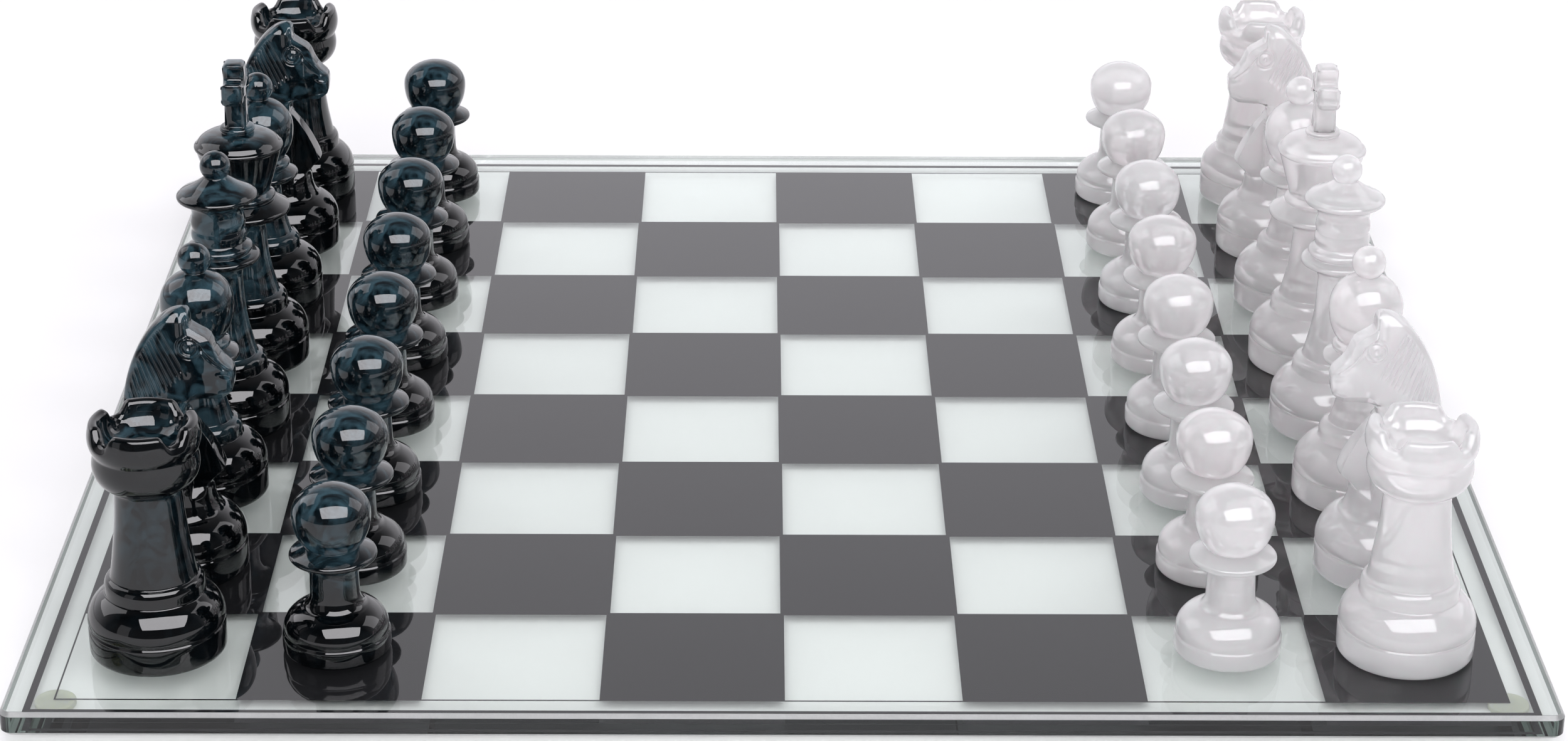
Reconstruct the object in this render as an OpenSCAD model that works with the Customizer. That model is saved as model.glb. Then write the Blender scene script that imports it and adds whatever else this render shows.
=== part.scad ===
// Chess set: a bevelled glass board with its squares and border printed underneath,
// four pads under it, and two sides of sixteen cast glass men.
// Origin: centre of the board, on the surface that the pads stand on. +Z is up.
// The dark side stands at -X and the pale side at +X. File a is at -Y.

/* [Board] */
// Distance from one square to the next
square_pitch = 70.3; // [62:0.1:90]
// How much wider than the pitch a dark square is printed
square_overlap = 1.4; // [0.2:0.1:3]
// Width of the fine line round the squares
line_w = 0.6; // [0.3:0.1:2]
// Clear gap between the fine line and the border band
band_gap = 7.7; // [3:0.1:20]
// Width of the border band
band_w = 2.8; // [1:0.1:10]
// Clear margin between the band and the edge of the glass
margin_w = 7.7; // [4:0.1:40]
// Thickness of the glass
glass_t = 10; // [5:0.5:20]
// Width of the ground bevel along the glass edges
bevel_w = 1.6; // [0.5:0.1:2.4]
// Radius of the glass corners
corner_r = 5; // [3:0.5:20]
// Thickness of the printed layer
print_t = 0.2; // [0.1:0.05:0.4]
// Diameter of a pad
pad_d = 16; // [10:0.5:24]
// Height of a pad, from the surface to the glass
pad_h = 3; // [2:0.5:8]
// Radius of a pad's lower edge
pad_edge_r = 1; // [0.5:0.1:1.5]

/* [Men: foot and shoulder] */
// Radius of the king's foot
king_r = 27.5; // [22:0.1:29]
// Radius of the queen's foot
queen_r = 26.8; // [22:0.1:29]
// Radius of a rook's foot
rook_r = 27; // [22:0.1:29]
// Radius of a bishop's foot
bishop_r = 26; // [21:0.1:29]
// Radius of a knight's foot
knight_r = 26.5; // [22:0.1:29]
// Radius of a pawn's foot
pawn_r = 21.3; // [17:0.1:26]
// Height of the foot under the king, queen, rook, bishop and knight
foot_h = 12.5; // [8:0.5:18]
// Height of the foot under a pawn
pawn_foot_h = 8.6; // [6:0.1:14]
// Radius of the foot's lower edge
foot_edge_r = 2.5; // [1:0.1:4]
// Depth of the groove between the foot and the shoulder
groove_d = 0.9; // [0.4:0.1:2]
// Height of the shoulder above its widest line
shoulder_h = 13; // [9:0.5:18]
// Height of the ring where a column stands on the shoulder
ring_h = 7.5; // [4:0.5:10]

/* [King] */
// Radius of the ring under the column
king_ring_r = 18.6; // [17:0.1:20]
// Radius of the column at its foot
king_column_r = 15; // [12:0.1:16.5]
// Radius of the column at its neck
king_neck_r = 10.4; // [7:0.1:11.5]
// Length of the column
king_column_h = 31; // [22:0.5:45]
// Radius of the flange above the column
king_flange_r = 22; // [18:0.1:25]
// Radius of the bucket at its foot
king_bucket_foot_r = 13.4; // [11:0.1:15.5]
// Radius of the bucket at its rim
king_rim_r = 20.1; // [17:0.1:24]
// Height of the bucket
king_bucket_h = 21; // [14:0.5:30]
// Radius of the button on the lid
king_button_r = 8; // [6.5:0.1:10]
// Height of the cross
cross_h = 29.5; // [26:0.5:36]
// Height of the middle of the arms above the cross's foot
cross_arm_z = 17.5; // [15:0.5:19]
// Span of the cross's arms
cross_w = 26; // [22:0.5:30]
// Thickness of the cross
cross_t = 9.6; // [6:0.1:11]

/* [Queen] */
// Radius of the ring under the column
queen_ring_r = 17.8; // [16:0.1:19.5]
// Radius of the column at its foot
queen_column_r = 14; // [11:0.1:15.5]
// Radius of the column at its neck
queen_neck_r = 9.2; // [7:0.1:10.5]
// Length of the column
queen_column_h = 35.5; // [24:0.5:48]
// Radius of the flange above the column
queen_flange_r = 17.4; // [15.5:0.1:22]
// Radius of the drum between the flange and the rim
queen_drum_r = 12.2; // [10.5:0.1:13]
// Height of the drum
queen_drum_h = 13; // [9:0.5:18]
// Radius of the rim
queen_rim_r = 17.6; // [15.5:0.1:22]
// Height of the lid above the rim
queen_lid_h = 8.7; // [6:0.1:12]
// Radius of the ball on the lid
queen_ball_r = 6.7; // [5.5:0.1:8]

/* [Bishop] */
// Radius of the ring under the column
bishop_ring_r = 16; // [15:0.1:18]
// Radius of the column at its foot
bishop_column_r = 12.3; // [10:0.1:14]
// Radius of the column at its neck
bishop_neck_r = 8.4; // [6.5:0.1:9.5]
// Length of the column
bishop_column_h = 23; // [17:0.5:36]
// Radius of the flange above the column
bishop_flange_r = 16.8; // [14.5:0.1:20]
// Radius of the bead above the flange
bishop_bead_r = 13.2; // [11.5:0.1:14.5]
// Radius of the head
bishop_head_r = 15.6; // [13.5:0.1:19]
// Height of the head
bishop_head_h = 29; // [23:0.5:36]
// Radius of the ball on the head
bishop_ball_r = 7.1; // [5.5:0.1:8.5]

/* [Rook] */
// Radius of the ring under the column
rook_ring_r = 19.7; // [18:0.1:20.5]
// Radius of the column at its foot
rook_column_r = 17.2; // [14:0.1:17.6]
// Radius of the column at its neck
rook_neck_r = 13.2; // [10:0.1:14]
// Length of the column
rook_column_h = 35.5; // [26:0.5:50]
// Radius of the bulge under the crown
rook_bulge_r = 20.8; // [17:0.1:23]
// Radius of the crown
rook_crown_r = 22; // [18:0.1:26]
// Height of the crown above the bulge
rook_crown_h = 18; // [14:0.5:22]
// Thickness of the crown's wall
rook_wall_t = 5; // [3.5:0.1:6.5]
// Radius of the scoops between the merlons
rook_scoop_r = 8; // [6:0.1:10]
// Depth of the scoops
rook_scoop_d = 5; // [3:0.1:6]

/* [Knight] */
// Radius of the waist between the shoulder and the chest
knight_waist_r = 14.2; // [12:0.1:15.5]
// Height of the throat above the waist
knight_throat_h = 31.6; // [24:0.1:38]
// Height of the ears above the throat
knight_head_h = 45.6; // [40:0.1:54]
// Thickness of the head and neck
knight_t = 14; // [11:0.1:16.5]
// Radius of the ring round the eye
knight_eye_r = 4; // [3:0.1:5]
// Number of grooves in the mane, on each side
mane_grooves = 12; // [8:1:14]
// Width of a mane groove
mane_groove_w = 1; // [0.6:0.1:1.4]
// Depth of a mane groove
mane_groove_d = 0.7; // [0.3:0.1:1.2]

/* [Pawn] */
// Radius of the neck
pawn_neck_r = 9.5; // [7:0.1:10.5]
// Length of the neck
pawn_neck_h = 17; // [12:0.5:24]
// Radius of the collar
pawn_collar_r = 17.3; // [15.5:0.1:20.5]
// Thickness of the collar
pawn_collar_h = 7; // [5:0.5:9]
// Radius of the head at its foot
pawn_head_foot_r = 10.2; // [8:0.1:12]
// Radius of the head
pawn_head_r = 15.6; // [13:0.1:19]
// Height of the head above the collar
pawn_head_h = 26; // [20:0.5:32]

/* [Hidden] */
SQUARES = 8;
FILES = "abcdefgh";
BACK_RANK = ["rook", "knight", "bishop", "queen", "king", "bishop", "knight", "rook"];
SIDES = ["dark", "pale"];
PAD_CORNERS = [["a_dark", -1, -1], ["a_pale", 1, -1], ["h_dark", -1, 1], ["h_pale", 1, 1]];

playfield_w = SQUARES * square_pitch;
line_outer_w = playfield_w + 2 * line_w;
band_inner_w = line_outer_w + 2 * band_gap;
band_outer_w = band_inner_w + 2 * band_w;
board_w = band_outer_w + 2 * margin_w;
print_z = pad_h - print_t;
top_z = pad_h + glass_t;

// How far inside the playfield the first rank lies, in squares from the centre
back_x = SQUARES / 2 - 0.5;
pawn_x = back_x - 1;

dark_glass = [0.05, 0.11, 0.15];
pale_glass = [0.91, 0.88, 0.90];
sheet_glass = [0.80, 0.90, 0.86, 0.4];
print_black = [0.09, 0.09, 0.10];
pad_clear = [0.80, 0.82, 0.70];

// Every man is [node, kind, side, place], with place in squares from the centre
function file_y(i) = i - SQUARES / 2 + 0.5;
function side_sign(side) = side == "dark" ? -1 : 1;
MEN = [
    for (side = SIDES, i = [0:SQUARES - 1], rank = ["back", "pawn"])
        let (kind = rank == "back" ? BACK_RANK[i] : "pawn", x = rank == "back" ? back_x : pawn_x)
        [str(side, "_", kind, "_", FILES[i]), kind, side, [side_sign(side) * x, file_y(i)]]
];

$fn = 72;

// ---- Turned outlines: points are [radius, height] ----

// An elliptical arc about c with half-axes a and b
function arc(c, a, b, from, to, n = 8) =
    [for (i = [0:n]) let (t = from + (to - from) * i / n) [c[0] + a * cos(t), c[1] + b * sin(t)]];

// A quarter curve that leaves p along the height and reaches q along the radius
function cove(p, q, n = 7) =
    [for (i = [0:n]) let (t = 90 * i / n) [q[0] + (p[0] - q[0]) * cos(t), p[1] + (q[1] - p[1]) * sin(t)]];

// A quarter curve that leaves p along the radius and reaches q along the height
function cove_in(p, q, n = 7) =
    [for (i = [0:n]) let (t = 90 * i / n) [p[0] + (q[0] - p[0]) * sin(t), q[1] + (p[1] - q[1]) * cos(t)]];

// A straight stretch from p to q, hollowed by bow at its middle
function bowed(p, q, bow, n = 8) =
    [for (i = [0:n]) let (t = i / n) p + (q - p) * t - [bow * sin(180 * t), 0]];

// A rounded rim of radius r that sticks out between heights low and high
function rim(r, low, high) =
    let (b = (high - low) / 2) arc([r - b, low + b], b, b, -75, 75, 6);

// Straight foot with a rounded lower edge, up to the groove
function foot(r, h) = concat(
    [[0, 0]],
    arc([r - foot_edge_r, foot_edge_r], foot_edge_r, foot_edge_r, -90, 0, 5),
    [[r, h - groove_d], [r - groove_d, h]]
);

// Rounded shoulder above the groove, drawn in to radius end_r
function shoulder(r, z, h, end_r) =
    let (c = r * 0.49, from = -9, to = acos((end_r - c) / (r - c)))
    arc([c, z + 0.16 * h], r - c, h, from, to, 10);
function shoulder_top(r, z, h, end_r) = let (p = shoulder(r, z, h, end_r)) p[len(p) - 1][1];

// Foot, shoulder and ring, ending at the column's foot
function stand(r, ring_r, column_r) =
    let (z = shoulder_top(r, foot_h, shoulder_h, ring_r + 0.8))
    concat(
        foot(r, foot_h),
        shoulder(r, foot_h, shoulder_h, ring_r + 0.8),
        [[ring_r, z + 0.4]],
        arc([column_r, z + ring_h * 0.45], ring_r - column_r, ring_h * 0.55, 0, 80, 5)
    );
function stand_h(r, ring_r) = shoulder_top(r, foot_h, shoulder_h, ring_r + 0.8) + ring_h;

module turned(points) rotate_extrude() polygon(points);

// ---- The men, each standing at the origin ----

king_neck_z = stand_h(king_r, king_ring_r) + king_column_h;
king_flange_z = king_neck_z + 8;
king_bucket_z = king_flange_z + 11;
king_rim_z = king_bucket_z + king_bucket_h;
king_button_z = king_rim_z + 7;
king_cross_z = king_button_z + 3.5;

module king() {
    turned(concat(
        stand(king_r, king_ring_r, king_column_r),
        bowed([king_column_r, stand_h(king_r, king_ring_r)], [king_neck_r, king_neck_z], 1),
        cove([king_neck_r, king_neck_z], [king_flange_r - 1.5, king_flange_z]),
        rim(king_flange_r, king_flange_z, king_flange_z + 3.4),
        [[king_bucket_foot_r + 2.6, king_flange_z + 6.6]],
        rim(king_bucket_foot_r + 2.2, king_flange_z + 6.8, king_flange_z + 9.6),
        [[king_bucket_foot_r, king_bucket_z], [king_rim_r - 0.9, king_rim_z - 1.4]],
        rim(king_rim_r, king_rim_z - 1.4, king_rim_z + 1.6),
        arc([king_button_r, king_rim_z + 1.2], king_rim_r - king_button_r - 1.4, 5.4, 15, 84, 6),
        rim(king_button_r, king_button_z, king_button_z + 3),
        [[0, king_cross_z]]
    ));
    translate([0, 0, king_cross_z]) rotate([90, 0, 90]) cross();
}

// Cross with flared arms: a block with four round scoops, sunk a little into the button
module cross() {
    sink = 0.8;
    scoop_r = cross_w / 4;
    scoop_x = cross_w / 2 - scoop_r * 0.39;
    linear_extrude(cross_t, center = true) difference() {
        translate([-cross_w / 2, -sink]) square([cross_w, cross_h + sink]);
        for (sx = [-1, 1]) {
            translate([sx * scoop_x, cross_arm_z + scoop_r * 1.7]) circle(scoop_r);
            translate([sx * scoop_x, cross_arm_z - scoop_r * 1.7]) circle(scoop_r);
            translate([sx * scoop_x - scoop_r, -sink - 1])
                square([2 * scoop_r, cross_arm_z - scoop_r * 1.7 + sink + 1]);
        }
    }
}

queen_neck_z = stand_h(queen_r, queen_ring_r) + queen_column_h;
queen_flange_z = queen_neck_z + 8.6;
queen_drum_z = queen_flange_z + 9.4;
queen_rim_z = queen_drum_z + queen_drum_h + 8;
queen_ball_foot_r = queen_ball_r * 0.72;
queen_ball_z = queen_rim_z + queen_lid_h + sqrt(pow(queen_ball_r, 2) - pow(queen_ball_foot_r, 2));

module queen() {
    turned(concat(
        stand(queen_r, queen_ring_r, queen_column_r),
        bowed([queen_column_r, stand_h(queen_r, queen_ring_r)], [queen_neck_r, queen_neck_z], 1.4),
        cove([queen_neck_r, queen_neck_z], [queen_flange_r - 1.5, queen_flange_z]),
        rim(queen_flange_r, queen_flange_z, queen_flange_z + 3.2),
        [[queen_drum_r + 1.2, queen_flange_z + 3.8]],
        rim(queen_drum_r + 2.2, queen_flange_z + 4.2, queen_flange_z + 7.8),
        [[queen_drum_r - 0.8, queen_drum_z]],
        bowed(
            [queen_drum_r - 0.6, queen_drum_z + 0.5],
            [queen_drum_r - 0.6, queen_drum_z + queen_drum_h * 0.75], -0.6, 6
        ),
        cove([queen_drum_r - 1, queen_drum_z + queen_drum_h], [queen_rim_r - 1.4, queen_rim_z - 2]),
        rim(queen_rim_r, queen_rim_z - 1.8, queen_rim_z + 1.4),
        bowed([queen_rim_r - 1.6, queen_rim_z + 2], [queen_ball_foot_r, queen_rim_z + queen_lid_h], 0.9),
        [[0, queen_rim_z + queen_lid_h]]
    ));
    translate([0, 0, queen_ball_z]) sphere(queen_ball_r);
}

bishop_neck_z = stand_h(bishop_r, bishop_ring_r) + bishop_column_h;
bishop_flange_z = bishop_neck_z + 5.4;
bishop_head_z = bishop_flange_z + 10;
bishop_wide_z = bishop_head_z + bishop_head_h * 0.51;
bishop_ball_foot_r = bishop_ball_r * 0.64;
bishop_ball_z = bishop_head_z + bishop_head_h + sqrt(pow(bishop_ball_r, 2) - pow(bishop_ball_foot_r, 2));

module bishop() {
    turned(concat(
        stand(bishop_r, bishop_ring_r, bishop_column_r),
        bowed([bishop_column_r, stand_h(bishop_r, bishop_ring_r)], [bishop_neck_r, bishop_neck_z], 0.9),
        cove([bishop_neck_r, bishop_neck_z], [bishop_flange_r - 1.4, bishop_flange_z]),
        rim(bishop_flange_r, bishop_flange_z, bishop_flange_z + 3),
        [[bishop_bead_r - 0.8, bishop_flange_z + 4.8]],
        rim(bishop_bead_r, bishop_flange_z + 5, bishop_flange_z + 8.6),
        [[bishop_head_r - 4.9, bishop_head_z]],
        arc([bishop_head_r - 9.6, bishop_wide_z], 9.6, bishop_wide_z - bishop_head_z + 2.2, -57, 0, 8),
        arc([1, bishop_wide_z], bishop_head_r - 1, bishop_head_h * 0.5, 8, 76, 10),
        [[0, bishop_head_z + bishop_head_h]]
    ));
    translate([0, 0, bishop_ball_z]) sphere(bishop_ball_r);
}

rook_neck_z = stand_h(rook_r, rook_ring_r) + rook_column_h;
rook_bulge_z = rook_neck_z + 12.8;
rook_top_z = rook_bulge_z + rook_crown_h;
rook_bowl_z = rook_top_z - 11;

module rook() {
    wall_r = rook_wall_t / 2;
    difference() {
        turned(concat(
            stand(rook_r, rook_ring_r, rook_column_r),
            bowed([rook_column_r, stand_h(rook_r, rook_ring_r)], [rook_neck_r, rook_neck_z], 0.7),
            cove([rook_neck_r, rook_neck_z + 0.5], [rook_bulge_r - 4.6, rook_neck_z + 3.6], 4),
            arc([rook_bulge_r - 7.5, rook_bulge_z], 7.5, 9.6, -64, 16, 9),
            arc([rook_crown_r - 6, rook_top_z - 6.5], 6, 9, -48, 30, 7),
            arc([rook_crown_r - wall_r - 0.6, rook_top_z - wall_r], wall_r, wall_r, 30, 165, 6),
            bowed(
                [rook_crown_r - rook_wall_t - 0.8, rook_top_z - wall_r - 1],
                [rook_crown_r - 9, rook_bowl_z + 1.6], -0.6, 4
            ),
            [[rook_crown_r - 12, rook_bowl_z], [0, rook_bowl_z - 0.6]]
        ));
        for (turn = [45:90:315])
            rotate(turn) translate([0, 0, rook_top_z - rook_scoop_d + rook_scoop_r]) rotate([0, 90, 0])
                cylinder(r = rook_scoop_r, h = rook_crown_r + 4);
    }
}

knight_waist_z = foot_h + shoulder_h + 13.5;
knight_throat_z = knight_waist_z + knight_throat_h;
knight_ear_z = knight_throat_z + knight_head_h;
knight_eye = [7.2, knight_throat_z + knight_head_h * 0.68];

// The head, neck and chest from the side, looking towards +X, with heights from the throat
function knight_outline() = concat(
    [[knight_waist_r - 0.5, -knight_throat_h], [19.6, 7 - knight_throat_h], [5.4, 0]],
    cove([5.6, 3.4], [11, 8.4], 4),
    [[19.8, 9], [23, 11.6]],
    arc([20, 18], 5, 6.8, -50, 62, 7),
    bowed([20.6, 25.4], [7.6, knight_head_h - 6.6], 1.2, 6),
    arc([5, 0], 25.6, knight_head_h, 90, 180, 14),
    bowed([-20.6, -4.6], [-knight_waist_r + 0.5, -knight_throat_h], -2.5, 6)
);

// Half of the outline from the front: flat sides that spread to the waist
function knight_side() = concat(
    [[knight_waist_r, knight_waist_z - 6]],
    bowed([knight_waist_r, knight_waist_z + 3], [knight_t / 2, knight_throat_z], 1.2, 6),
    [[knight_t / 2, knight_ear_z + 2]]
);

module knight_body() {
    half = knight_side();
    intersection() {
        translate([0, 0, knight_throat_z]) rotate([90, 0, 0])
            linear_extrude(3 * knight_waist_r, center = true) polygon(knight_outline());
        rotate([90, 0, 90]) linear_extrude(3 * knight_r, center = true)
            polygon(concat(half, [for (i = [len(half) - 1:-1:0]) [-half[i][0], half[i][1]]]));
        turned([
            [0, knight_waist_z - 3],
            [knight_waist_r, knight_waist_z - 3],
            [knight_waist_r, knight_waist_z + 2],
            [32, knight_throat_z - 4.6],
            [32, knight_ear_z + 2],
            [0, knight_ear_z + 2]
        ]);
    }
}

// Slanted grooves down both sides of the crest
module mane() {
    groove_l = 22;
    top = [-2.6, knight_ear_z - 13];
    step = [-1.1, -2.3] * 12 / mane_grooves;
    for (i = [0:mane_grooves - 1], side = [-1, 1])
        translate([top[0] + i * step[0], side * knight_t / 2, top[1] + i * step[1]]) rotate([0, -26, 0])
            cube([mane_groove_w, 2 * mane_groove_d, groove_l], center = true);
}

// A raised ring and pupil on each side of the head
module eyes() {
    for (side = [-1, 1])
        translate([knight_eye[0], side * knight_t / 2, knight_eye[1]]) rotate([90, 0, 0]) {
            difference() {
                cylinder(r = knight_eye_r, h = 1.2, center = true);
                cylinder(r = knight_eye_r - 1, h = 2, center = true);
            }
            cylinder(r = knight_eye_r * 0.4, h = 1.2, center = true);
        }
}

module knight() {
    shoulder_end_r = 19.4;
    shoulder_z = shoulder_top(knight_r, foot_h, shoulder_h, shoulder_end_r);
    turned(concat(
        foot(knight_r, foot_h),
        shoulder(knight_r, foot_h, shoulder_h, shoulder_end_r),
        cove_in([shoulder_end_r - 0.3, shoulder_z + 0.3], [knight_waist_r, knight_waist_z + 0.5]),
        [[0, knight_waist_z + 0.5]]
    ));
    difference() {
        knight_body();
        mane();
    }
    eyes();
}

pawn_shoulder_h = 10.6;
pawn_shoulder_end_r = pawn_r - 7.9;
pawn_neck_z = pawn_foot_h + pawn_shoulder_h;
pawn_collar_z = pawn_neck_z + pawn_neck_h + 2;
pawn_head_z = pawn_collar_z + pawn_collar_h;
pawn_wide_z = pawn_head_z + pawn_head_h * 0.54;

module pawn() {
    turned(concat(
        foot(pawn_r, pawn_foot_h),
        arc([pawn_r - 16, pawn_foot_h + 1.6], 15.4, pawn_shoulder_h, -8, 59, 10),
        cove_in([pawn_shoulder_end_r, pawn_neck_z], [pawn_neck_r + 0.2, pawn_neck_z + 6.5]),
        cove([pawn_neck_r, pawn_collar_z - 3.5], [pawn_collar_r - 2.4, pawn_collar_z + 2]),
        rim(pawn_collar_r, pawn_collar_z + 2, pawn_collar_z + pawn_collar_h * 0.7),
        [[pawn_head_foot_r + 1.2, pawn_head_z], [pawn_head_foot_r, pawn_head_z + 0.4]],
        arc([pawn_head_r - 9.6, pawn_wide_z], 9.6, pawn_wide_z - pawn_head_z + 1.6, -58, 0, 8),
        arc([0, pawn_wide_z], pawn_head_r, pawn_head_h * 0.46, 8, 90, 10)
    ));
}

// ---- The board ----

// Outline of the glass in plan, with round corners
module glass_plan() {
    half = board_w / 2 - corner_r;
    square([board_w, 2 * half], center = true);
    square([2 * half, board_w], center = true);
    for (sx = [-1, 1], sy = [-1, 1])
        translate([sx * half, sy * half]) circle(corner_r);
}

// The glass seen end on, with a bevel at each edge
module glass_section() {
    x = board_w / 2;
    polygon([
        [-x, bevel_w], [-x + bevel_w, 0], [x - bevel_w, 0], [x, bevel_w],
        [x, glass_t - bevel_w], [x - bevel_w, glass_t], [-x + bevel_w, glass_t], [-x, glass_t - bevel_w]
    ]);
}

module board_glass()
    color(sheet_glass) translate([0, 0, pad_h]) intersection() {
        linear_extrude(glass_t) glass_plan();
        rotate([90, 0, 0]) linear_extrude(2 * board_w, center = true) glass_section();
        rotate([90, 0, 90]) linear_extrude(2 * board_w, center = true) glass_section();
    }

module square_frame(inner_w, outer_w)
    difference() {
        square(outer_w, center = true);
        square(inner_w, center = true);
    }

module squares_plan()
    intersection() {
        square(playfield_w, center = true);
        for (file = [0:SQUARES - 1], step = [0:SQUARES - 1])
            if ((file + step) % 2 == 1)
                translate([file_y(step) * square_pitch, file_y(file) * square_pitch])
                    square(square_pitch + square_overlap, center = true);
    }

module printed() color(print_black) translate([0, 0, print_z]) linear_extrude(print_t) children();

module dark_squares() printed() squares_plan();
module border_line() printed() square_frame(playfield_w, line_outer_w);
module border_band() printed() square_frame(band_inner_w, band_outer_w);

// A pad stuck under a corner of the playfield, over the print
module pad(sx, sy)
    color(pad_clear) difference() {
        translate([sx, sy, 0] * playfield_w / 2) turned(concat(
            [[0, 0]],
            arc([pad_d / 2 - pad_edge_r, pad_edge_r], pad_edge_r, pad_edge_r, -90, 0, 5),
            [[pad_d / 2, pad_h], [0, pad_h]]
        ));
        dark_squares();
        border_line();
        border_band();
    }

module man(m)
    color(m[2] == "dark" ? dark_glass : pale_glass)
        translate([m[3][0] * square_pitch, m[3][1] * square_pitch, top_z])
            rotate(m[2] == "dark" ? 0 : 180) {
                if (m[1] == "king") king();
                if (m[1] == "queen") queen();
                if (m[1] == "bishop") bishop();
                if (m[1] == "knight") knight();
                if (m[1] == "rook") rook();
                if (m[1] == "pawn") pawn();
            }

board_glass();
dark_squares();
border_line();
border_band();
for (p = PAD_CORNERS) pad(p[1], p[2]);
for (m = MEN) man(m);
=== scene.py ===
import math
from types import SimpleNamespace

import bpy
import numpy as np
from bpy.props import FloatProperty, FloatVectorProperty, IntProperty, PointerProperty
from mathutils import Matrix, Vector, noise


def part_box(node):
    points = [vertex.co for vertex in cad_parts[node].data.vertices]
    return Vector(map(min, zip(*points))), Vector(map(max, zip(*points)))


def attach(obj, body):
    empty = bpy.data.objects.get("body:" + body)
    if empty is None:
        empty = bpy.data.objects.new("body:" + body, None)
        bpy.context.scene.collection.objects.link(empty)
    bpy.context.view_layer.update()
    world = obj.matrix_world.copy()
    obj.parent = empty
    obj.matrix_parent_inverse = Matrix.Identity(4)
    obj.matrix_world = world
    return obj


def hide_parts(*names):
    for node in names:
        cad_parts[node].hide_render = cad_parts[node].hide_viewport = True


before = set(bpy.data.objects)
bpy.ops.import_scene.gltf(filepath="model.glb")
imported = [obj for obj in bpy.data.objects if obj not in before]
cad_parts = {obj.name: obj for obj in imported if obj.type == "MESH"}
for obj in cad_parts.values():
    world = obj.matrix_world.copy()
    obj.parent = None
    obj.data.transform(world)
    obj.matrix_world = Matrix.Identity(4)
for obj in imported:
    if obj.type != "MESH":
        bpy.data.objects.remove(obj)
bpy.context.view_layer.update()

bl_info = {
    "name": "Cast Glass Chess Set",
    "version": (1, 0, 0),
    "blender": (4, 5, 0),
    "location": "View3D > Sidebar > Glass Chess",
    "description": "Thirty-two cast glass men on a bevelled glass board with a printed underside",
    "category": "Object",
}

MM = 0.001
SQUARES = 8
SIDES = ("dark", "pale")
FLOOR_REACH = 40.0  # metres from the board to the floor's edge
HEART = (0, 0, 0.06)  # what the lamps are aimed at

# Where a glow is painted into the dark glass's colour, standing in for light through thin glass, in mm:
# within these radii and over these heights
PAINTED_GLOW_RADIUS, PAINTED_GLOW_HEIGHT = (12.5, 18.5), (24, 34)
KNIGHT_PAINTED_GLOW_HEIGHT, CROWN_PAINTED_GLOW_HEIGHT = (56, 76), (76, 86)
KNIGHT_PAINTED_GLOW_SHARE, ROOK_PAINTED_GLOW_SHARE = 0.9, 0.35  # how far the painted glow reaches on the knight's head and on the rook's column

# The knight's features, in mm: forward of his middle, and over his throat
CREST_MIDDLE, CREST_REACH, CREST_CURVE = 5.8, 26.4, 1.7  # the last is how square the crest is
EYE = (8.3, 29.8)
CHEEK = (12.4, 18.5)
NOSTRIL = (21.8, 17.2)
LIPS = (24, 10.4)
EAR_RIDGE, EAR_FOLD = 5.2, 7.3
LOCK_ROOT, LOCK_STEP = (5.7, 17.4), (1.85, 1.5)  # the first mane groove, and the step back to the next
LOCK_LEAN, LOCK_TURN = 26, 1.2  # degrees: the first groove's lean, and how much less the next one leans
JAW_EDGE = ((5.6, 2.4), (8, 4.9), (10, 6.0), (20, 6.6), (22.6, 8.2), (24.2, 9.6), (25.4, 16))

GLASS_IOR, MILKY_IOR = 1.52, 1.5
LAMP_TINT, STUDIO_TINT = (0.98, 0.965, 1.0), (0.97, 0.95, 1.0)
LAMPS = (  # name, place, width and height in metres, brightness, and the rays that pass it by
    ("window_box", (0.18, -0.95, 1.1), 1.8, 1.05, 8.0, ("diffuse", "transmission")),
    ("left_panel", (-1.6, 0.5, 1.3), 1.2, 1.4, 1.8, ()),
    ("right_panel", (1.6, 0.5, 1.3), 1.2, 1.4, 1.8, ()),
    ("front_left_panel", (-1.5, -1.3, 0.45), 0.6, 1.1, 0.55, ()),
    ("front_fill", (0.2, -2.6, 1.6), 3.0, 2.0, 3.0, ("glossy", "transmission")),
    ("overhead_fill", (0, 0, 3.2), 3.4, 3.4, 1.6, ("glossy", "transmission")),
)


# ---- Settings ----


def length(name, description, mm):
    """A length setting, written here in millimetres."""
    return FloatProperty(name=name, description=description, default=mm * MM, unit="LENGTH", precision=4)


def tint(name, description, colour):
    return FloatVectorProperty(
        name=name, description=description, default=colour, subtype="COLOR", size=3, min=0, max=1
    )


class StandSizes(bpy.types.PropertyGroup):
    """What the men's lower halves share."""

    foot_height: length("Foot height", "Height of the foot under the tall men", 12.5)
    pawn_foot_height: length("Pawn foot height", "Height of the foot under a pawn", 8.6)
    foot_edge: length("Foot edge", "Radius of the foot's lower edge", 2.5)
    groove: length("Groove", "Depth of the groove above the foot", 0.9)
    shoulder_height: length("Shoulder height", "Height of the shoulder over its widest line", 13)
    ring_height: length("Ring height", "Height of the ring under a column", 7.5)


class KingSizes(bpy.types.PropertyGroup):
    """A king, from the ring up."""

    ring: length("Ring", "Radius of the ring under the column", 18.6)
    column: length("Column", "Radius of the column at its foot", 15)
    neck: length("Neck", "Radius of the column at its neck", 10.4)
    column_height: length("Column height", "Length of the column", 31)
    flange: length("Flange", "Radius of the flange over the column", 22)
    bucket_foot: length("Bucket foot", "Radius of the bucket at its foot", 13.4)
    rim: length("Rim", "Radius of the bucket at its rim", 20.1)
    bucket_height: length("Bucket height", "Height of the bucket", 21)
    button: length("Button", "Radius of the button on the lid", 8)
    cross_height: length("Cross height", "Height of the cross", 29.5)
    arm_height: length("Arm height", "Middle of the arms over the cross's foot", 17.5)
    cross_width: length("Cross width", "Span of the arms", 26)
    cross_thickness: length("Cross thickness", "Thickness of the cross", 9.6)


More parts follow.
